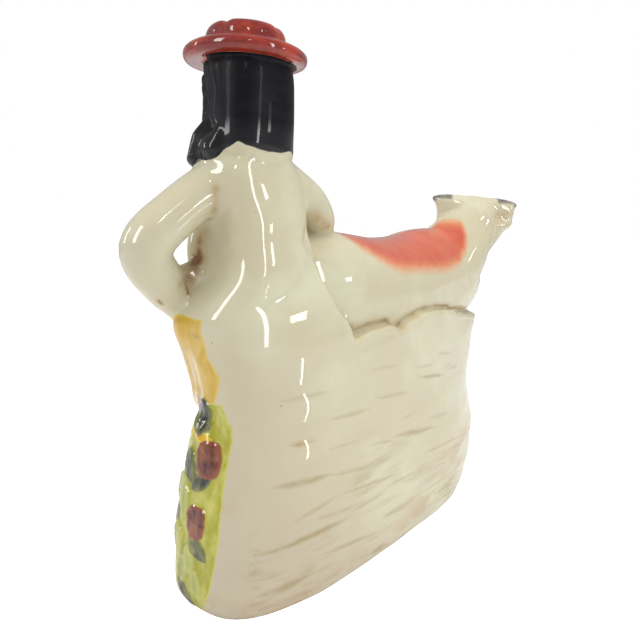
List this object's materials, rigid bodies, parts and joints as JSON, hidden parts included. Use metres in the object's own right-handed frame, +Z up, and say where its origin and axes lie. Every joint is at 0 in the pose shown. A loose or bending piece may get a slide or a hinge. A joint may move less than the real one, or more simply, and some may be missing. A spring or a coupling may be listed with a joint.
{
  "type": "flatback figure",
  "caption": "Glazed earthenware flatback of a milkmaid in a red hat beside her cow on a flowery mound, with a plain back.",
  "frame": {"origin": "middle of the foot's length and depth, on the flat underside", "axes": "+Z up, the modelled front faces -Y and the plain back +Y, the maid is towards +X and the cow's head towards -X"},
  "size_m": [0.1807, 0.0511, 0.1655],
  "materials": {
    "glazed_earthenware": "cream lead glaze with overglaze enamel painting, fine craze and brown staining in the hollows"
  },
  "bodies": {
    "root": {"flatback_figure": "glazed_earthenware"}
  },
  "joints": []
}
